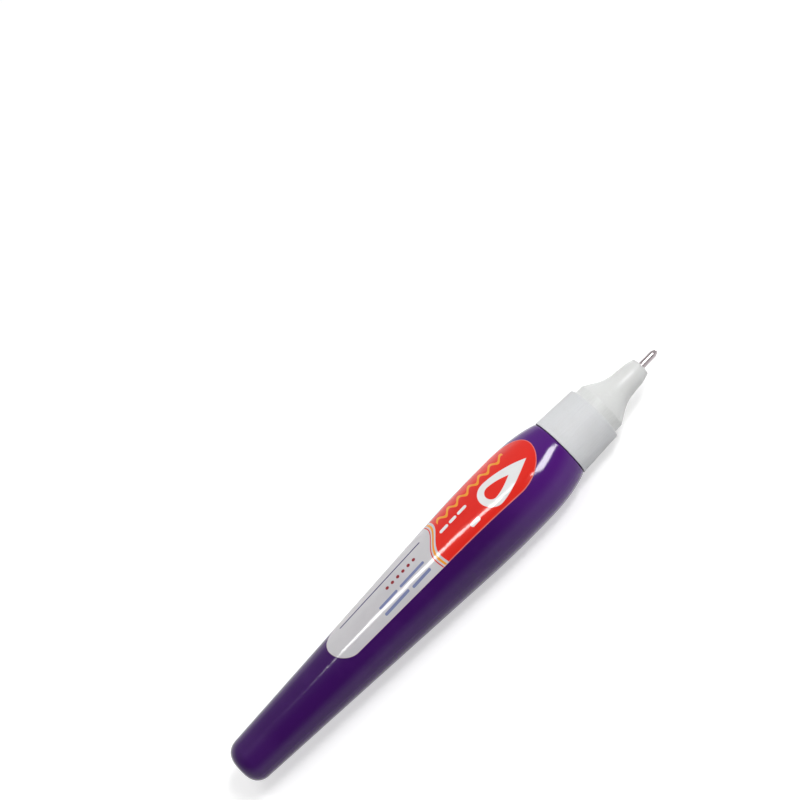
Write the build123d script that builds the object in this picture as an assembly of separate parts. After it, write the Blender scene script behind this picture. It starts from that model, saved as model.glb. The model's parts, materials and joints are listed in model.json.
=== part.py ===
from build123d import *
import math
import os

# A squeeze-bottle correction pen without its cap, lying on its side with the label up.
# Sizes are in millimetres. X runs along the pen with the tip towards +X, and Z is up.
# The origin is under the middle of the pen, on the level that the bottle's belly reaches.
# Every piece is made on the pen's own axis first, where u = 0 is the bottle's shoulder
# and u grows towards the tip, and is then set into that frame.

# Bottle: round at the shoulder, a flattened oval from the belly to the tail
bottle_length = 104.0
bottle_wall = 1.1
shoulder_step = 0.1
shoulder_rounding = 0.8
swell_power = 3.2
swell_sections = 8
belly_distance = 17.5
belly_half_width = 10.5
belly_half_depth = 9.05
belly_flat = 1.0
belly_bend = 7.0
tail_half_width = 5.7
tail_rounding = 3.8

# Collar
collar_length = 11.45
collar_base_radius = 7.95
collar_draft = 0.5
collar_wall = 1.5
collar_top_rounding = 0.5
collar_lip_thickness = 1.15
rib_count = 60
rib_groove_radius = 0.3
rib_groove_depth = 0.05
rib_plain_band = 0.8

# Screw thread between the neck and the collar, right-handed
thread_pitch = 2.2
thread_height = 0.5
thread_crest_width = 0.55
thread_root_width = 1.05
thread_root_sink = 0.2
thread_crest_gap = 0.25
thread_start = 2.6
neck_thread_turns = 1.5
collar_thread_turns = 1.25

# Neck of the bottle, inside the collar, and the washer on its rim
neck_wall = 1.25
gasket_thickness = 0.8

# Label film on the upper face, an outline with an oval front end and a round rear end
label_film = 0.12
label_glue = 0.03
label_front = 4.45
label_front_half_length = 9.5
label_front_half_width = 7.1
label_rear_radius = 5.0
label_length = 66.2

# Nozzle, outside: plug in the neck, clamped flange, rim for the cap, flare, barrel and mouth
plug_length = 3.0
plug_rounding = 0.3
flange_thickness = 1.2
flange_side_gap = 0.6
flange_overhang = 0.7
cap_step = 1.0
rim_height = 2.3
rim_rounding = 0.7
flare_length = 4.85
flare_rounding = 10.0
barrel_base_radius = 3.5
barrel_end_radius = 3.0
barrel_length = 5.7
barrel_rounding = 3.0
mouth_radius = 2.35
mouth_length = 2.45
mouth_wall = 1.0
mouth_rounding = 0.4

# Metal tip
tip_radius = 0.875
tip_reach = 5.0
tip_nose_length = 0.95
tip_nose_rim = 0.14
tip_nose_rounding = 0.3
tip_wall = 0.325
tip_orifice_length = 0.4
tip_seat_length = 0.4
tip_seat_step = 0.19
shank_step = 0.525
shank_length = 4.8
chamber_step = 0.35

# Needle and its moulded head
needle_reach = 0.4
needle_nose_gap = 0.08
needle_side_gap = 0.13
needle_hold_length = 1.2
head_thickness = 1.0
head_side_gap = 0.3
head_front_gap = 0.3
head_sleeve_wall = 0.6
head_sleeve_length = 0.7
head_stem_length = 4.0
head_stem_gap = 0.36
head_stem_rounding = 0.3

# Valve spring and the perforated plug behind it
spring_wire = 0.28
spring_side_gap = 0.51
spring_turns = 7
retainer_ledge = 1.07
retainer_thickness = 2.7
retainer_rounding = 0.3
flow_hole_count = 4
flow_hole_radius = 0.4

# Mixing ball
ball_radius = 3.0
ball_gap = 0.15

# Clearances
fit_gap = 0.02
seat_gap = 0.05
slide_gap = 0.1
snap_gap = 0.1

# Radii that follow from the collar
shoulder_radius = collar_base_radius - shoulder_step
collar_top_radius = collar_base_radius - collar_draft
collar_bore = collar_base_radius - collar_wall
neck_radius = collar_bore - thread_crest_gap - thread_height
neck_bore = neck_radius - neck_wall
flange_radius = collar_bore - flange_side_gap
stem_radius = flange_radius - flange_overhang
rim_radius = collar_top_radius - cap_step
plug_radius = neck_bore - slide_gap

# Radii that follow from the metal tip
tip_bore = tip_radius - tip_wall
tip_orifice = tip_bore - tip_seat_step
tip_nose_radius = tip_orifice + tip_nose_rim
shank_radius = tip_radius + shank_step
chamber_radius = shank_radius + chamber_step
plug_bore = chamber_radius + retainer_ledge
retainer_radius = plug_bore - fit_gap
needle_nose_radius = tip_orifice - needle_nose_gap
needle_radius = tip_bore - needle_side_gap
spring_mean_radius = chamber_radius - spring_side_gap - spring_wire / 2
head_radius = chamber_radius - head_side_gap
head_sleeve_radius = needle_radius + head_sleeve_wall
head_stem_radius = spring_mean_radius - spring_wire / 2 - head_stem_gap

# Levels along the axis that several pieces share
collar_base = slide_gap
collar_top = collar_base + collar_length
lip_underside = collar_top - collar_lip_thickness
flange_top = lip_underside - seat_gap
flange_base = flange_top - flange_thickness
gasket_base = flange_base - gasket_thickness
neck_rim = gasket_base - seat_gap
plug_end = flange_base - plug_length
rim_base = collar_top + seat_gap
rim_top = rim_base + rim_height
flare_end = rim_top + flare_length
barrel_end = flare_end + barrel_length
nozzle_front = barrel_end + mouth_length
shank_front = nozzle_front - mouth_wall - fit_gap
shank_rear = shank_front - shank_length
tip_front = nozzle_front + tip_reach
needle_front = tip_front + needle_reach
head_front = shank_rear - head_front_gap - head_sleeve_length
head_rear = head_front - head_thickness
sleeve_front = head_front + head_sleeve_length
needle_rear = sleeve_front - needle_hold_length
retainer_front = flange_base + retainer_thickness
spring_length = head_rear - retainer_front - 2 * fit_gap
taper_start = belly_distance + belly_flat + belly_bend

# Where the pen's own axis lies in the frame
axis_height = belly_half_depth
axis_shift = (bottle_length - needle_front) / 2


def set_in_frame(solid):
    """Moves a piece from the pen's own axis into the frame."""
    return Pos(axis_shift, 0, axis_height) * solid


def turned(*corners):
    """A solid of revolution about the pen's axis from corners (u, radius, rounding)."""
    points = [(u, radius) for u, radius, rounding in corners]
    roundings = [rounding for u, radius, rounding in corners]
    outline = FilletPolyline(*points, radius=roundings, close=True)
    return revolve(make_face(outline), Axis.X)


def swell(distance, belly):
    """Half of the bottle's width or depth between its round shoulder and its belly."""
    return belly - (belly - shoulder_radius) * (1 - distance / belly_distance) ** swell_power


def bottle_form(inset):
    """The bottle's outer form, drawn in by an inset all round."""
    sections = []
    for i in range(swell_sections + 1):
        distance = inset + (belly_distance - inset) * i / swell_sections
        oval = Ellipse(swell(distance, belly_half_width) - inset, swell(distance, belly_half_depth) - inset)
        sections.append(Plane.YZ.offset(-distance) * oval)
    width = belly_half_width - inset
    tail_end = bottle_length - inset
    tail_width = tail_half_width - inset
    taper_angle = math.atan2(width - tail_width, tail_end - taper_start)
    taper = turned(
        (-belly_distance, 0, 0),
        (-belly_distance, width, 0),
        (-taper_start, width, belly_bend / math.tan(taper_angle / 2)),
        (-tail_end, tail_width, tail_rounding - inset),
        (-tail_end, 0, 0),
    )
    flatness = (belly_half_depth - inset) / width
    return loft(sections) + scale(taper, by=(1, 1, flatness))


def thread_ridge(surface_radius, outward, start, turns):
    """One helical ridge that stands out of, or into, a round surface."""
    way = 1 if outward else -1
    path = Helix(thread_pitch, thread_pitch * turns, surface_radius, center=(start, 0, 0), direction=(1, 0, 0))
    begin = path @ 0
    across = Vector(0, begin.Y, begin.Z)
    root_half = thread_root_width / 2
    crest_half = thread_crest_width / 2
    outline = make_face(
        Polyline(
            (-way * thread_root_sink, -root_half),
            (way * thread_height, -crest_half),
            (way * thread_height, crest_half),
            (-way * thread_root_sink, root_half),
            close=True,
        )
    )
    profile = Plane(origin=begin, x_dir=across, z_dir=path % 0) * outline
    return sweep(profile, path=path, is_frenet=True)


def bottle():
    outer = bottle_form(0)
    shoulder = outer.faces().sort_by(Axis.X)[-1]
    outer = fillet(shoulder.edges(), shoulder_rounding)
    neck = turned(
        (-bottle_wall, neck_bore, 0),
        (-bottle_wall, neck_radius, 0),
        (neck_rim, neck_radius, 0),
        (neck_rim, neck_bore, 0),
    )
    mouth = turned(
        (-2 * bottle_wall, 0, 0),
        (-2 * bottle_wall, neck_bore, 0),
        (neck_rim, neck_bore, 0),
        (neck_rim, 0, 0),
    )
    ridge = thread_ridge(neck_radius, True, thread_start, neck_thread_turns)
    return outer - bottle_form(bottle_wall) - mouth + neck + ridge


def label():
    front_centre = label_front + label_front_half_length
    rear_centre = label_front + label_length - label_rear_radius
    front_end = Pos(-front_centre, 0) * Ellipse(label_front_half_length, label_front_half_width)
    rear_end = Pos(-rear_centre, 0) * Circle(label_rear_radius)
    outline = make_hull(front_end.edges() + rear_end.edges())
    column = extrude(outline, 2 * belly_half_depth)
    film = bottle_form(-label_glue - label_film) - bottle_form(-label_glue)
    return film & column


def collar():
    body = turned(
        (collar_base, collar_bore, 0),
        (collar_base, collar_base_radius, 0),
        (collar_top, collar_top_radius, collar_top_rounding),
        (collar_top, stem_radius + snap_gap, 0),
        (lip_underside, stem_radius + snap_gap, 0),
        (lip_underside, collar_bore, 0),
    )
    slope = math.atan2(collar_base_radius - collar_top_radius, collar_length)
    groove_length = (collar_length - 2 * rib_plain_band) / math.cos(slope)
    middle = (collar_base + collar_top) / 2
    middle_radius = (collar_base_radius + collar_top_radius) / 2
    groove_axis_radius = middle_radius + rib_groove_radius - rib_groove_depth
    groove = Cylinder(rib_groove_radius, groove_length)
    groove = Pos(middle, 0, groove_axis_radius) * Rot(0, 90 + math.degrees(slope), 0) * groove
    grooves = [Rot(360 * i / rib_count, 0, 0) * groove for i in range(rib_count)]
    ridge = thread_ridge(collar_bore, False, thread_start - thread_pitch / 2, collar_thread_turns)
    return body - grooves + ridge


def nozzle():
    shank_hole = shank_radius + fit_gap
    tip_hole = tip_radius + fit_gap
    return turned(
        (plug_end, plug_bore, 0),
        (plug_end, plug_radius, plug_rounding),
        (flange_base, plug_radius, 0),
        (flange_base, flange_radius, 0),
        (flange_top, flange_radius, 0),
        (flange_top, stem_radius, 0),
        (rim_base, stem_radius, 0),
        (rim_base, rim_radius, 0),
        (rim_top, rim_radius, rim_rounding),
        (flare_end, barrel_base_radius, flare_rounding),
        (barrel_end, barrel_end_radius, barrel_rounding),
        (nozzle_front, mouth_radius, mouth_rounding),
        (nozzle_front, tip_hole, 0),
        (nozzle_front - mouth_wall, tip_hole, 0),
        (nozzle_front - mouth_wall, shank_hole, 0),
        (shank_rear, shank_hole, 0),
        (shank_rear, chamber_radius, 0),
        (retainer_front + fit_gap, chamber_radius, 0),
        (retainer_front + fit_gap, plug_bore, 0),
    )


def neck_gasket():
    return turned(
        (gasket_base, neck_bore + seat_gap, 0),
        (gasket_base, neck_radius - seat_gap, 0),
        (flange_base, neck_radius - seat_gap, 0),
        (flange_base, neck_bore + seat_gap, 0),
    )


def tip_tube():
    orifice_rear = tip_front - tip_orifice_length
    return turned(
        (shank_rear, tip_bore, 0),
        (shank_rear, shank_radius, 0),
        (shank_front, shank_radius, 0),
        (shank_front, tip_radius, 0),
        (tip_front - tip_nose_length, tip_radius, tip_nose_rounding),
        (tip_front, tip_nose_radius, 0),
        (tip_front, tip_orifice, 0),
        (orifice_rear, tip_orifice, 0),
        (orifice_rear - tip_seat_length, tip_bore, 0),
    )


def valve_needle():
    cone_front = tip_front - tip_orifice_length - seat_gap
    cone_rear = cone_front - tip_seat_length
    round_start = needle_front - needle_nose_radius
    outline = Polyline(
        (needle_rear, 0),
        (needle_rear, needle_radius),
        (cone_rear, needle_radius),
        (cone_front, needle_nose_radius),
        (round_start, needle_nose_radius),
    )
    nose = RadiusArc((round_start, needle_nose_radius), (needle_front, 0), needle_nose_radius)
    centre_line = Line((needle_front, 0), (needle_rear, 0))
    return revolve(make_face(outline + nose + centre_line), Axis.X)


def needle_head():
    needle_hole = needle_radius + fit_gap
    stem_rear = head_rear - head_stem_length
    return turned(
        (stem_rear, 0, 0),
        (stem_rear, head_stem_radius, head_stem_rounding),
        (head_rear, head_stem_radius, 0),
        (head_rear, head_radius, 0),
        (head_front, head_radius, 0),
        (head_front, head_sleeve_radius, 0),
        (sleeve_front, head_sleeve_radius, 0),
        (sleeve_front, needle_hole, 0),
        (needle_rear - fit_gap, needle_hole, 0),
        (needle_rear - fit_gap, 0, 0),
    )


def valve_spring():
    centre_length = spring_length - spring_wire
    pitch = centre_length / spring_turns
    start = retainer_front + fit_gap + spring_wire / 2
    path = Helix(pitch, centre_length, spring_mean_radius, center=(start, 0, 0), direction=(1, 0, 0))
    section = Plane(origin=path @ 0, z_dir=path % 0) * Circle(spring_wire / 2)
    print("valve spring, gap between turns:", round(pitch - spring_wire, 3))
    return sweep(section, path=path, is_frenet=True)


def spring_retainer():
    plug = turned(
        (flange_base, 0, 0),
        (flange_base, retainer_radius, retainer_rounding),
        (retainer_front, retainer_radius, 0),
        (retainer_front, 0, 0),
    )
    ring_radius = (retainer_radius + spring_mean_radius) / 2
    hole = Rot(0, 90, 0) * Cylinder(flow_hole_radius, 2 * retainer_thickness)
    hole = Pos((flange_base + retainer_front) / 2, 0, ring_radius) * hole
    return plug - [Rot(360 * i / flow_hole_count, 0, 0) * hole for i in range(flow_hole_count)]


def mixing_ball():
    """Lies under the belly, the lowest part of the bottle's floor."""
    floor = bottle_wall - belly_half_depth
    return Pos(-belly_distance, 0, floor + ball_gap + ball_radius) * Sphere(ball_radius)


makers = [
    bottle,
    label,
    collar,
    nozzle,
    neck_gasket,
    tip_tube,
    valve_needle,
    needle_head,
    valve_spring,
    spring_retainer,
    mixing_ball,
]
os.makedirs("parts", exist_ok=True)
for maker in makers:
    export_step(set_in_frame(maker()), f"parts/{maker.__name__}.step")
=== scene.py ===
import json
import math

import bpy
from mathutils import Matrix, Vector


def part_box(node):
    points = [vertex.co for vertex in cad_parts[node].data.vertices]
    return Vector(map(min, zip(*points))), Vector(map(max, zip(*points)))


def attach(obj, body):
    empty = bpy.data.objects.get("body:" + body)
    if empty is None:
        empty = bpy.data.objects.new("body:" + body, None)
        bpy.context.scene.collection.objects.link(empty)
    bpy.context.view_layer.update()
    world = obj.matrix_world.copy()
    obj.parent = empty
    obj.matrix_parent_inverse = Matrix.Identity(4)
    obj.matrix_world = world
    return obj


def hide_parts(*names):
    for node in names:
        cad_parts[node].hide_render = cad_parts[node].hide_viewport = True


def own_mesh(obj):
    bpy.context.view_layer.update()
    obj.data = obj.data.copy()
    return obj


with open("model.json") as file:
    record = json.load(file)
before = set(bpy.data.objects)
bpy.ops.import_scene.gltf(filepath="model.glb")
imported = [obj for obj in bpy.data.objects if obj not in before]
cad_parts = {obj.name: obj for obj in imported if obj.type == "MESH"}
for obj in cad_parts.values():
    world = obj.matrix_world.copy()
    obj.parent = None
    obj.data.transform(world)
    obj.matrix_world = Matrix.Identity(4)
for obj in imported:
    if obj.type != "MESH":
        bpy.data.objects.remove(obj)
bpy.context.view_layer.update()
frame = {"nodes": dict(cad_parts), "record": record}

scene = bpy.context.scene
scene.view_settings.view_transform = "Standard"

# The pen lies along X with its tip towards +X and its label up. Lengths are in metres.
mm = 0.001
nodes = frame["nodes"]
collar_low, collar_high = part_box("collar")
nozzle_low, nozzle_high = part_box("nozzle")
needle_end_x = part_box("valve_needle")[1][0]
axis_height = (nozzle_low[2] + nozzle_high[2]) / 2
needle_point = Vector((needle_end_x, 0, axis_height))
shoulder_x = collar_low[0]

# Camera: above the pen on its -Y side, a little towards the tail, turned so that the pen points up right
image_width = 800
point_pixel = Vector((657, 350))
pen_angle = math.radians(45)
lens_mm = 90
sensor_mm = 36
near_clip = 0.01
point_distance = 0.4655
camera_back = Vector((-0.057, -0.70, 0.71)).normalized()


def camera_axes():
    """Right, up and back of the camera, with the pen's axis at its angle in the picture."""
    pen_in_picture = Vector((1, 0, 0))
    pen_in_picture = (pen_in_picture - camera_back * pen_in_picture.dot(camera_back)).normalized()
    across = camera_back.cross(pen_in_picture)
    right = pen_in_picture * math.cos(pen_angle) - across * math.sin(pen_angle)
    up = pen_in_picture * math.sin(pen_angle) + across * math.cos(pen_angle)
    return right, up, camera_back


def add_camera():
    right, up, back = camera_axes()
    metres_per_pixel = point_distance * sensor_mm / lens_mm / image_width
    beside = (point_pixel.x - image_width / 2) * metres_per_pixel
    above = (image_width / 2 - point_pixel.y) * metres_per_pixel
    place = needle_point - right * beside - up * above + back * point_distance
    data = bpy.data.cameras.new("camera")
    data.lens = lens_mm
    data.sensor_width = sensor_mm
    data.clip_start = near_clip
    camera = bpy.data.objects.new("camera", data)
    scene.collection.objects.link(camera)
    turn = Matrix((right, up, back)).transposed().to_4x4()
    camera.matrix_world = Matrix.Translation(place) @ turn
    scene.camera = camera


add_camera()

# Sockets of a Mix node that mixes colours, by number because several share a name
mix_share_socket = 0
mix_first_socket = 6
mix_second_socket = 7
mix_result_socket = 2


# Helpers for node trees
def srgb(red, green, blue):
    """A colour given in 0 to 255 steps, as the linear values that sockets take."""
    steps = []
    for level in (red, green, blue):
        share = level / 255
        steps.append(share / 12.92 if share <= 0.04045 else ((share + 0.055) / 1.055) ** 2.4)
    return (*steps, 1)


def set_values(node, values):
    for name, value in values.items():
        node.inputs[name].default_value = value


def feed(tree, socket, source):
    """Sets a socket to a plain value or links it to another socket."""
    if isinstance(source, bpy.types.NodeSocket):
        tree.links.new(source, socket)
    else:
        socket.default_value = source


def calc(tree, operation, *terms):
    node = tree.nodes.new("ShaderNodeMath")
    node.operation = operation
    for socket, term in zip(node.inputs, terms):
        feed(tree, socket, term)
    return node.outputs[0]


def length_of(tree, first, second):
    """The length of a step with two sides at right angles."""
    first_square = calc(tree, "MULTIPLY", first, first)
    second_square = calc(tree, "MULTIPLY", second, second)
    return calc(tree, "SQRT", calc(tree, "ADD", first_square, second_square))


def smooth_step(tree, value, low, high):
    """0 below low, 1 above high and a smooth rise between them."""
    node = tree.nodes.new("ShaderNodeMapRange")
    node.interpolation_type = "SMOOTHSTEP"
    feed(tree, node.inputs["Value"], value)
    set_values(node, {"From Min": low, "From Max": high})
    return node.outputs["Result"]


def within(tree, value, middle, half_width, edge):
    """1 where a value lies near a middle, and 0 away from it."""
    beside = calc(tree, "ABSOLUTE", calc(tree, "SUBTRACT", value, middle))
    return calc(tree, "SUBTRACT", 1.0, smooth_step(tree, beside, half_width - edge, half_width + edge))


def spread(tree, value, low, high):
    """Takes a value of 0 to 1 to the range from low to high."""
    node = tree.nodes.new("ShaderNodeMapRange")
    feed(tree, node.inputs["Value"], value)
    set_values(node, {"To Min": low, "To Max": high})
    return node.outputs["Result"]


def blend_colour(tree, share, first, second):
    node = tree.nodes.new("ShaderNodeMix")
    node.data_type = "RGBA"
    feed(tree, node.inputs[mix_share_socket], share)
    feed(tree, node.inputs[mix_first_socket], first)
    feed(tree, node.inputs[mix_second_socket], second)
    return node.outputs[mix_result_socket]


def noise(tree, point, scale, detail=2.0, roughness=0.5):
    node = tree.nodes.new("ShaderNodeTexNoise")
    feed(tree, node.inputs["Vector"], point)
    feed(tree, node.inputs["Scale"], scale)
    set_values(node, {"Detail": detail, "Roughness": roughness})
    return node.outputs["Fac"]


def object_point(tree):
    return tree.nodes.new("ShaderNodeTexCoord").outputs["Object"]


def split_point(tree, point):
    """The X, Y and Z of a point."""
    node = tree.nodes.new("ShaderNodeSeparateXYZ")
    feed(tree, node.inputs[0], point)
    return node.outputs


def stretched(tree, point, scale):
    node = tree.nodes.new("ShaderNodeMapping")
    feed(tree, node.inputs["Vector"], point)
    node.inputs["Scale"].default_value = scale
    return node.outputs["Vector"]


def new_group(name, inputs, outputs):
    """A shader node group with number inputs and outputs, and the sockets at its two ends."""
    group = bpy.data.node_groups.new(name, "ShaderNodeTree")
    for socket_name, value in inputs.items():
        socket = group.interface.new_socket(socket_name, in_out="INPUT", socket_type="NodeSocketFloat")
        socket.default_value = value
    for socket_name in outputs:
        group.interface.new_socket(socket_name, in_out="OUTPUT", socket_type="NodeSocketFloat")
    start = group.nodes.new("NodeGroupInput")
    end = group.nodes.new("NodeGroupOutput")
    return group, start.outputs, end.inputs


def use_group(tree, group, values):
    node = tree.nodes.new("ShaderNodeGroup")
    node.node_tree = group
    for name, value in values.items():
        feed(tree, node.inputs[name], value)
    return node.outputs


def new_material(name, values):
    """A material whose shader sockets hold the values that are the same all over."""
    material = bpy.data.materials.new(name)
    material.use_nodes = True
    tree = material.node_tree
    shader = tree.nodes["Principled BSDF"]
    set_values(shader, values)
    return material, tree, shader


def add_bump(tree, shader, height, depth, strength):
    node = tree.nodes.new("ShaderNodeBump")
    set_values(node, {"Strength": strength, "Distance": depth})
    feed(tree, node.inputs["Height"], height)
    feed(tree, shader.inputs["Normal"], node.outputs["Normal"])


# Effects that several finishes share
def make_moulded_skin():
    """Moulded plastic: a fine uneven skin, faint smudges and a few hairline scuffs."""
    fine_share = 0.35
    broad_scale = 0.22
    scuff_scale = (90, 1400, 1400)
    group, given, result = new_group(
        "moulded_skin", {"Grain": 900.0, "Smudge Size": 60.0}, ["Height", "Smudge", "Scuff"]
    )
    point = object_point(group)
    fine = noise(group, point, given["Grain"], detail=1.0)
    broad = noise(group, point, calc(group, "MULTIPLY", given["Grain"], broad_scale))
    feed(group, result["Height"], calc(group, "ADD", calc(group, "MULTIPLY", fine, fine_share), broad))
    patches = noise(group, point, given["Smudge Size"], detail=4.0, roughness=0.6)
    feed(group, result["Smudge"], smooth_step(group, patches, low=0.42, high=0.68))
    hairs = noise(group, stretched(group, point, scuff_scale), 1.0, detail=2.0, roughness=0.7)
    feed(group, result["Scuff"], smooth_step(group, hairs, low=0.68, high=0.74))
    return group


def make_drawn_lines():
    """Drawn or turned metal: lines along X and rings around it, of uneven depth."""
    line_length_scale = 300.0
    ring_share = 0.6
    dull_scale = 700.0
    group, given, result = new_group("drawn_lines", {"Line": 9000.0, "Ring": 5000.0}, ["Height", "Dull"])
    point = object_point(group)
    parts = split_point(group, point)
    along = group.nodes.new("ShaderNodeCombineXYZ")
    for axis, scale in (("X", line_length_scale), ("Y", given["Line"]), ("Z", given["Line"])):
        feed(group, along.inputs[axis], calc(group, "MULTIPLY", parts[axis], scale))
    lines = noise(group, along.outputs[0], 1.0)
    around = group.nodes.new("ShaderNodeCombineXYZ")
    feed(group, around.inputs["X"], calc(group, "MULTIPLY", parts["X"], given["Ring"]))
    rings = noise(group, around.outputs[0], 1.0, detail=3.0)
    feed(group, result["Height"], calc(group, "ADD", lines, calc(group, "MULTIPLY", rings, ring_share)))
    dull_patches = noise(group, point, dull_scale, detail=3.0)
    feed(group, result["Dull"], smooth_step(group, dull_patches, low=0.35, high=0.7))
    return group


def make_print_bar():
    """A bar with round ends, as printed on the label. Places and sizes are in millimetres."""
    edge = 0.04
    group, given, result = new_group(
        "print_bar",
        {"X": 0.0, "Y": 0.0, "Middle X": 0.0, "Middle Y": 0.0, "Half Length": 1.0, "Radius": 0.3},
        ["Mask"],
    )
    beside = calc(group, "ABSOLUTE", calc(group, "SUBTRACT", given["X"], given["Middle X"]))
    past_end = calc(group, "MAXIMUM", calc(group, "SUBTRACT", beside, given["Half Length"]), 0.0)
    across = calc(group, "SUBTRACT", given["Y"], given["Middle Y"])
    inside = calc(group, "SUBTRACT", given["Radius"], length_of(group, past_end, across))
    feed(group, result["Mask"], smooth_step(group, inside, -edge, edge))
    return group


moulded_skin = make_moulded_skin()
drawn_lines = make_drawn_lines()
print_bar = make_print_bar()


def skin_roughness(tree, skin, clean, smudged, scuff):
    """Roughness of a glossy skin, with what a scuff adds."""
    smudges = spread(tree, skin["Smudge"], clean, smudged)
    scuffs = spread(tree, skin["Scuff"], 0.0, scuff)
    return calc(tree, "ADD", smudges, scuffs)


# Purple bottle: painted light makes it lighter towards its shoulder, with a faint mould seam along both
# narrow sides
bottle_purple = srgb(54, 7, 86)
# Lighter purple painted on the shoulder as light falling on it
painted_light_purple = srgb(77, 22, 116)
smudge_purple = srgb(96, 58, 130)
seam_purple = srgb(106, 70, 140)
seam_half_width = 0.14 * mm
seam_edge = 0.08 * mm
# Painted light on the shoulder: where it begins and where it is full, along X
painted_light_start = shoulder_x - 30 * mm
painted_light_full = shoulder_x - 3 * mm


def purple_bottle():
    smudge_share = 0.08
    seam_share = 0.12
    seam_height = 1.2
    material, tree, shader = new_material("purple_bottle", {"Specular IOR Level": 0.28})
    skin = use_group(tree, moulded_skin, {"Grain": 260.0, "Smudge Size": 85.0})
    parts = split_point(tree, object_point(tree))
    seam = within(tree, parts["Z"], axis_height, seam_half_width, seam_edge)
    # Painted light: the base colour turns lighter towards the shoulder, as if lit from the tip side
    painted_light = smooth_step(tree, parts["X"], painted_light_start, painted_light_full)
    colour = blend_colour(tree, painted_light, bottle_purple, painted_light_purple)
    colour = blend_colour(tree, spread(tree, skin["Smudge"], 0.0, smudge_share), colour, smudge_purple)
    colour = blend_colour(tree, calc(tree, "MULTIPLY", seam, seam_share), colour, seam_purple)
    feed(tree, shader.inputs["Base Color"], colour)
    feed(tree, shader.inputs["Roughness"], skin_roughness(tree, skin, clean=0.11, smudged=0.15, scuff=0.05))
    height = calc(tree, "ADD", skin["Height"], calc(tree, "MULTIPLY", seam, seam_height))
    add_bump(tree, shader, height, depth=0.02 * mm, strength=0.012)
    return material


# White and natural mouldings, two of them with zones along X that wear in use: middle and half width of each
def rub_marks(tree, zones):
    """Short streaks along X inside the rubbed zones."""
    streak_scale = (500, 2600, 2600)
    zone_edge_share = 0.6
    point = object_point(tree)
    parts = split_point(tree, point)
    streaks = noise(tree, stretched(tree, point, streak_scale), 1.0)
    streaks = smooth_step(tree, streaks, low=0.42, high=0.66)
    inside = 0.0
    for middle, half_width in zones:
        zone = within(tree, parts["X"], middle, half_width, zone_edge_share * half_width)
        inside = calc(tree, "MAXIMUM", zone, inside)
    return calc(tree, "MULTIPLY", streaks, inside)


def white_moulding(name, light, dark, roughness, grain, depth, specular, rubbed=()):
    smudge_share = 0.5
    smudge_dulling = 0.08
    rub_share = 0.08
    rub_dulling = 0.04
    rub_grey = srgb(150, 150, 148)
    material, tree, shader = new_material(name, {"Specular IOR Level": specular})
    skin = use_group(tree, moulded_skin, {"Grain": grain, "Smudge Size": 110.0})
    colour = blend_colour(tree, spread(tree, skin["Smudge"], 0.0, smudge_share), light, dark)
    dulled = spread(tree, skin["Smudge"], roughness, roughness + smudge_dulling)
    if rubbed:
        rub = rub_marks(tree, rubbed)
        colour = blend_colour(tree, calc(tree, "MULTIPLY", rub, rub_share), colour, rub_grey)
        dulled = calc(tree, "ADD", dulled, calc(tree, "MULTIPLY", rub, rub_dulling))
    feed(tree, shader.inputs["Base Color"], colour)
    feed(tree, shader.inputs["Roughness"], dulled)
    add_bump(tree, shader, skin["Height"], depth, strength=0.2)
    return material


white_mouldings = {
    "white_collar": {
        "light": srgb(212, 213, 215), "dark": srgb(207, 207, 208), "roughness": 0.45,
        "grain": 1500.0, "depth": 0.02 * mm, "specular": 0.15,
        "rubbed": [(collar_low[0], 0.7 * mm), (collar_high[0], 0.7 * mm)],
    },
    "white_nozzle": {
        "light": srgb(216, 217, 216), "dark": srgb(211, 211, 210), "roughness": 0.23,
        "grain": 700.0, "depth": 0.012 * mm, "specular": 0.18,
        "rubbed": [(collar_high[0] + 1.3 * mm, 1.5 * mm), (nozzle_high[0], 0.6 * mm)],
    },
    "natural_plastic": {
        "light": srgb(218, 216, 206), "dark": srgb(208, 205, 192), "roughness": 0.45,
        "grain": 1100.0, "depth": 0.02 * mm, "specular": 0.4,
    },
    "gasket_foam": {
        "light": srgb(206, 205, 198), "dark": srgb(190, 188, 180), "roughness": 0.8,
        "grain": 2600.0, "depth": 0.05 * mm, "specular": 0.2,
    },
}


# Metals
def drawn_metal(name, bright, dull, roughness, line, ring, depth):
    dulling = 0.1
    material, tree, shader = new_material(name, {"Metallic": 1.0})
    lines = use_group(tree, drawn_lines, {"Line": line, "Ring": ring})
    feed(tree, shader.inputs["Base Color"], blend_colour(tree, lines["Dull"], bright, dull))
    feed(tree, shader.inputs["Roughness"], spread(tree, lines["Dull"], roughness, roughness + dulling))
    add_bump(tree, shader, lines["Height"], depth, strength=0.02)
    return material


metals = {
    "tip_steel": {
        "bright": srgb(176, 167, 169), "dull": srgb(166, 157, 159), "roughness": 0.28,
        "line": 9000.0, "ring": 5200.0, "depth": 0.006 * mm,
    },
    "needle_steel": {
        "bright": srgb(210, 206, 207), "dull": srgb(192, 186, 188), "roughness": 0.16,
        "line": 5000.0, "ring": 9000.0, "depth": 0.004 * mm,
    },
    "spring_steel": {
        "bright": srgb(170, 168, 168), "dull": srgb(142, 139, 140), "roughness": 0.26,
        "line": 7000.0, "ring": 4000.0, "depth": 0.006 * mm,
    },
    "ball_steel": {
        "bright": srgb(184, 183, 184), "dull": srgb(164, 162, 163), "roughness": 0.12,
        "line": 3000.0, "ring": 3000.0, "depth": 0.003 * mm,
    },
}

# Label outline and print, in millimetres from the pen's middle, with X towards the tip
label_front_middle_x = 21.9
label_front_half_length = 9.5
label_front_half_width = 7.1
label_rear_middle_x = -29.8
label_rear_radius = 5.0
# A pale band along the label's cut edge, partly the film's clear margin and partly a painted highlight on
# that edge
pale_edge_and_glint_start = 0.06
pale_edge_and_glint_end = 0.2
pale_edge_and_glint_share = 0.3
print_edge = 0.05

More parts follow.
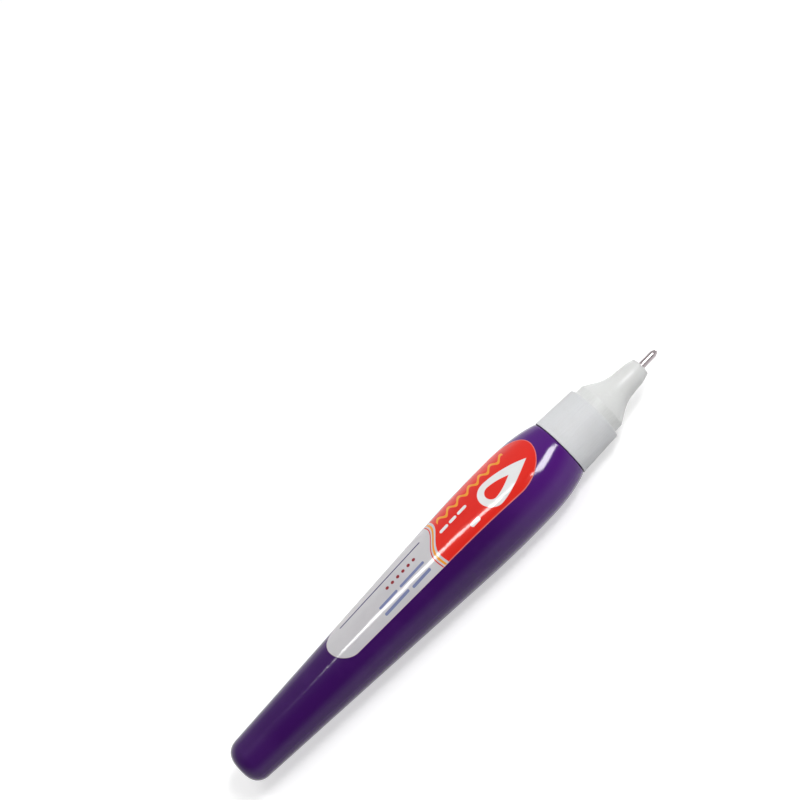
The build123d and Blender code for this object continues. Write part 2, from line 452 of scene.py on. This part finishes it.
# Colours of the print
print_red = srgb(222, 38, 26)
print_red_smudged = srgb(215, 35, 25)
print_pale = srgb(198, 196, 199)
print_pale_smudged = srgb(190, 188, 192)
print_white = srgb(226, 226, 226)
print_yellow = srgb(232, 150, 36)
print_line_red = srgb(206, 60, 54)
print_violet = srgb(66, 52, 104)
print_blue_grey = srgb(116, 124, 164)
print_dark_red = srgb(140, 40, 48)
# Pale tint of the cut edge, partly a painted highlight
pale_edge_and_glint_pale = srgb(232, 200, 196)

# Boundary of the red field, a slow wave across the label
field_edge_x = 0.6
field_edge_slope = 0.3
field_wave_height = 0.9
field_wave_rate = 0.55

# Lines behind that boundary: place, half width and colour of each
field_lines = [(-0.85, 0.28, print_yellow), (-1.7, 0.16, print_line_red)]

# White drop with a red core
drop_round_x = 16.9
drop_middle_y = -2.4
drop_taper = 1.6
drop_radius = 3.5
drop_point_length = 11.2
core_radius = 1.7
core_point_length = 5.6

# Yellow wave line along the far edge
wave_line_y = 3.3
wave_line_height = 0.8
wave_line_period = 3.4
wave_line_half_width = 0.5
wave_line_middle_x = 14.2
wave_line_half_length = 10.95

# Bars: X and Y of the middle, half length, radius and colour of each
print_bars = [
    (9.4, 0.1, 1.0, 0.42, print_white),
    (6.4, 0.1, 0.7, 0.42, print_white),
    (3.5, 0.1, 0.9, 0.42, print_white),
    (9.6, -4.6, 0.9, 0.5, print_white),
    (-16.0, 3.1, 13.2, 0.2, print_violet),
    (-9.0, -2.0, 3.6, 0.34, print_blue_grey),
    (-16.8, -2.0, 2.6, 0.34, print_blue_grey),
    (-8.0, -4.3, 2.6, 0.34, print_blue_grey),
    (-15.8, -4.0, 3.6, 0.34, print_blue_grey),
]

# Row of dots
dot_count = 6
dot_first_x = -6.4
dot_pitch = 1.75
dot_y = 0.5
dot_radius = 0.46
for i in range(dot_count):
    print_bars.append((dot_first_x - dot_pitch * i, dot_y, 0.0, dot_radius, print_dark_red))


def label_inside(tree, x, y):
    """How far a point of the label lies inside its outline."""
    run = label_front_middle_x - label_rear_middle_x
    share = calc(tree, "DIVIDE", calc(tree, "SUBTRACT", label_front_middle_x, x), run)
    half_width = spread(tree, share, label_front_half_width, label_rear_radius)
    ahead = calc(tree, "MAXIMUM", calc(tree, "SUBTRACT", x, label_front_middle_x), 0.0)
    ahead = calc(tree, "MULTIPLY", ahead, label_front_half_width / label_front_half_length)
    behind = calc(tree, "MAXIMUM", calc(tree, "SUBTRACT", label_rear_middle_x, x), 0.0)
    past = calc(tree, "ADD", ahead, behind)
    return calc(tree, "SUBTRACT", half_width, length_of(tree, past, y))


def drop_mask(tree, x, y, radius, point_length):
    """A plain drop with its round end towards the tail and its point towards the tip."""
    ahead = calc(tree, "SUBTRACT", x, drop_round_x)
    front = calc(tree, "MAXIMUM", calc(tree, "DIVIDE", ahead, point_length), 0.0)
    taper = calc(tree, "SUBTRACT", 1.0, calc(tree, "POWER", front, drop_taper))
    half_width = calc(tree, "MULTIPLY", taper, radius)
    behind = calc(tree, "MINIMUM", ahead, 0.0)
    across = calc(tree, "SUBTRACT", y, drop_middle_y)
    inside = calc(tree, "SUBTRACT", half_width, length_of(tree, across, behind))
    return smooth_step(tree, inside, -print_edge, print_edge)


def ahead_of_field_edge(tree, x, y):
    """How far a point of the label lies ahead of the red field's boundary."""
    phase = calc(tree, "MULTIPLY", y, field_wave_rate)
    wave = calc(tree, "MULTIPLY", calc(tree, "SINE", phase), field_wave_height)
    slope = calc(tree, "MULTIPLY", y, field_edge_slope)
    edge_x = calc(tree, "ADD", calc(tree, "ADD", wave, slope), field_edge_x)
    return calc(tree, "SUBTRACT", x, edge_x)


def wave_line_mask(tree, x, y):
    phase = calc(tree, "MULTIPLY", x, 2 * math.pi / wave_line_period)
    ripple = calc(tree, "MULTIPLY", calc(tree, "SINE", phase), wave_line_height)
    line = within(tree, calc(tree, "SUBTRACT", y, ripple), wave_line_y, wave_line_half_width, print_edge)
    run = within(tree, x, wave_line_middle_x, wave_line_half_length, print_edge)
    return calc(tree, "MULTIPLY", line, run)


def label_print():
    material, tree, shader = new_material("label_print", {"Specular IOR Level": 0.38})
    parts = split_point(tree, object_point(tree))
    x = calc(tree, "MULTIPLY", parts["X"], 1 / mm)
    y = calc(tree, "MULTIPLY", parts["Y"], 1 / mm)
    skin = use_group(tree, moulded_skin, {"Grain": 220.0, "Smudge Size": 70.0})
    red = blend_colour(tree, skin["Smudge"], print_red, print_red_smudged)
    pale = blend_colour(tree, skin["Smudge"], print_pale, print_pale_smudged)

    ahead = ahead_of_field_edge(tree, x, y)
    colour = blend_colour(tree, smooth_step(tree, ahead, -print_edge, print_edge), pale, red)
    for place, half_width, line_colour in field_lines:
        colour = blend_colour(tree, within(tree, ahead, place, half_width, print_edge), colour, line_colour)

    drop = drop_mask(tree, x, y, drop_radius, drop_point_length)
    core = drop_mask(tree, x, y, core_radius, core_point_length)
    colour = blend_colour(tree, drop, colour, print_white)
    colour = blend_colour(tree, core, colour, red)
    colour = blend_colour(tree, wave_line_mask(tree, x, y), colour, print_yellow)

    for middle_x, middle_y, half_length, radius, bar_colour in print_bars:
        values = {
            "X": x, "Y": y, "Middle X": middle_x, "Middle Y": middle_y,
            "Half Length": half_length, "Radius": radius,
        }
        colour = blend_colour(tree, use_group(tree, print_bar, values)["Mask"], colour, bar_colour)

    # Painted highlight, with the film's clear margin, as a pale band just inside the label's outline
    covered = smooth_step(tree, label_inside(tree, x, y), pale_edge_and_glint_start, pale_edge_and_glint_end)
    pale_edge_and_glint = calc(tree, "MULTIPLY", calc(tree, "SUBTRACT", 1.0, covered), pale_edge_and_glint_share)
    colour = blend_colour(tree, pale_edge_and_glint, colour, pale_edge_and_glint_pale)
    feed(tree, shader.inputs["Base Color"], colour)
    feed(tree, shader.inputs["Roughness"], skin_roughness(tree, skin, clean=0.08, smudged=0.12, scuff=0.05))
    add_bump(tree, shader, skin["Height"], depth=0.012 * mm, strength=0.001)
    return material


finishes = {"purple_bottle": purple_bottle(), "label_print": label_print()}
for name, look in white_mouldings.items():
    finishes[name] = white_moulding(name, **look)
for name, look in metals.items():
    finishes[name] = drawn_metal(name, **look)
for subpart in frame["record"]["subparts"]:
    nodes[subpart["node"]].material_slots[0].material = finishes[subpart["material_slot"]]

# Valve spring, wound here as a helix of wire that takes the place of the part's own mesh
spring_wire = 0.28 * mm
spring_turns = 7
spring_steps = 28
spring_wire_sides = 10
spring_smooth_angle = math.radians(50)


def wind_valve_spring():
    low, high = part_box("valve_spring")
    mean_radius = (high[1] - low[1] - spring_wire) / 2
    bpy.ops.object.select_all(action="DESELECT")
    bpy.ops.mesh.primitive_circle_add(
        vertices=spring_wire_sides, radius=spring_wire / 2,
        location=(low[0] + spring_wire / 2, 0, axis_height), rotation=(math.pi / 2, 0, 0)
    )
    spring = bpy.context.object
    spring.name = "wound_valve_spring"
    bpy.ops.object.transform_apply(location=False, rotation=True, scale=False)
    bpy.ops.object.mode_set(mode="EDIT")
    bpy.ops.mesh.select_all(action="SELECT")
    bpy.ops.transform.translate(value=(0, 0, mean_radius))
    bpy.ops.object.mode_set(mode="OBJECT")
    coil = spring.modifiers.new("coil", "SCREW")
    coil.axis = "X"
    coil.iterations = spring_turns
    coil.screw_offset = (high[0] - low[0] - spring_wire) / spring_turns
    coil.steps = spring_steps
    coil.render_steps = spring_steps
    bpy.ops.object.modifier_apply(modifier="coil")
    bpy.ops.object.mode_set(mode="EDIT")
    bpy.ops.mesh.select_all(action="SELECT")
    bpy.ops.mesh.fill_holes(sides=0)
    bpy.ops.mesh.normals_make_consistent(inside=False)
    bpy.ops.object.mode_set(mode="OBJECT")
    bpy.ops.object.shade_smooth_by_angle(angle=spring_smooth_angle)
    bpy.ops.object.transform_apply(location=True, rotation=False, scale=False)
    spring.data.materials.append(finishes["spring_steel"])
    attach(spring, "nozzle_unit")
    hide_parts("valve_spring")
    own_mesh(spring)


wind_valve_spring()

# Floor, which glows just enough to show white
floor_half_size = 3.0
floor_dark = (0.655, 0.655, 0.655, 1)
floor_light = (0.665, 0.665, 0.665, 1)
floor_mottle_scale = 14.0
floor_glow = 0.53
white = (1, 1, 1, 1)


def add_floor():
    bpy.ops.object.select_all(action="DESELECT")
    bpy.ops.mesh.primitive_plane_add(size=2 * floor_half_size, location=(0, 0, 0))
    floor = bpy.context.object
    floor.name = "floor"
    material, tree, shader = new_material(
        "white_floor", {"Roughness": 0.9, "Specular IOR Level": 0.0, "Emission Color": white}
    )
    mottle = noise(tree, object_point(tree), floor_mottle_scale, detail=3.0)
    feed(tree, shader.inputs["Base Color"], blend_colour(tree, mottle, floor_dark, floor_light))
    path = tree.nodes.new("ShaderNodeLightPath").outputs
    seen = calc(tree, "MAXIMUM", path["Is Camera Ray"], path["Is Glossy Ray"])
    seen = calc(tree, "MAXIMUM", seen, path["Is Transmission Ray"])
    feed(tree, shader.inputs["Emission Strength"], calc(tree, "MULTIPLY", seen, floor_glow))
    floor.data.materials.append(material)


add_floor()


# World
def set_world(top_strength, horizon_strength, glow_height, far_glow, far_start, far_direction):
    """A white sky, brighter towards its horizon and towards the far side of the pen."""
    world = bpy.data.worlds.new("studio")
    scene.world = world
    world.use_nodes = True
    tree = world.node_tree
    sky = tree.nodes["Background"]
    set_values(sky, {"Color": white})
    direction = tree.nodes.new("ShaderNodeTexCoord").outputs["Generated"]
    height = smooth_step(tree, split_point(tree, direction)["Z"], 0.0, glow_height)
    towards = tree.nodes.new("ShaderNodeVectorMath")
    towards.operation = "DOT_PRODUCT"
    feed(tree, towards.inputs[0], direction)
    towards.inputs[1].default_value = far_direction.normalized()
    far_share = smooth_step(tree, towards.outputs["Value"], far_start, 1.0)
    strength = spread(tree, height, horizon_strength, top_strength)
    strength = calc(tree, "ADD", strength, calc(tree, "MULTIPLY", far_share, far_glow))
    feed(tree, sky.inputs["Strength"], strength)


set_world(
    top_strength=0.17, horizon_strength=0.84, glow_height=0.5,
    far_glow=0.42, far_start=0.2, far_direction=Vector((0, 0.75, 0.66))
)

# Lamps, which face the middle of the pen. Those that only light stand behind those that are only mirrored.
pen_middle = Vector((0, 0, 0.012))
lamps = {
    "label lamp": {
        "start": (0.069, -0.118, 0.705), "end": (-0.138, 0.161, 0.694), "width": 0.04, "power": 0.635,
        "mirrored": False,
    },
    "line lamp": {
        "start": (0.06, -0.103, 0.615), "end": (-0.12, 0.14, 0.605), "width": 0.045, "power": 1.0,
        "lights": False,
    },
    "shoulder lamp": {
        "start": (0.414, -0.115, 0.588), "end": (0.201, -0.302, 0.619), "width": 0.138, "power": 2.78,
        "mirrored": False,
    },
    "streak lamp": {
        "start": (0.35, -0.135, 0.515), "end": (0.163, -0.288, 0.537), "width": 0.165, "power": 4.2,
        "lights": False,
    },
    "front lamp": {
        "start": (0.45, -0.06, 0.43), "end": (0.45, 0.19, 0.43), "width": 0.25, "power": 0.12,
    },
}


def add_strip_light(name, start, end, width, power, lights=True, mirrored=True):
    """A rectangular lamp that faces the pen, with its long middle line about from start to end."""
    middle = (Vector(start) + Vector(end)) / 2
    back = (middle - pen_middle).normalized()
    along = Vector(end) - Vector(start)
    side = (along - back * along.dot(back)).normalized()
    data = bpy.data.lights.new(name, "AREA")
    data.shape = "RECTANGLE"
    data.size = along.length
    data.size_y = width
    data.energy = power
    light = bpy.data.objects.new(name, data)
    light.visible_diffuse = lights
    light.visible_glossy = mirrored
    scene.collection.objects.link(light)
    turn = Matrix((side, back.cross(side), back)).transposed().to_4x4()
    light.matrix_world = Matrix.Translation(middle) @ turn


for name, lamp in lamps.items():
    add_strip_light(name, **lamp)
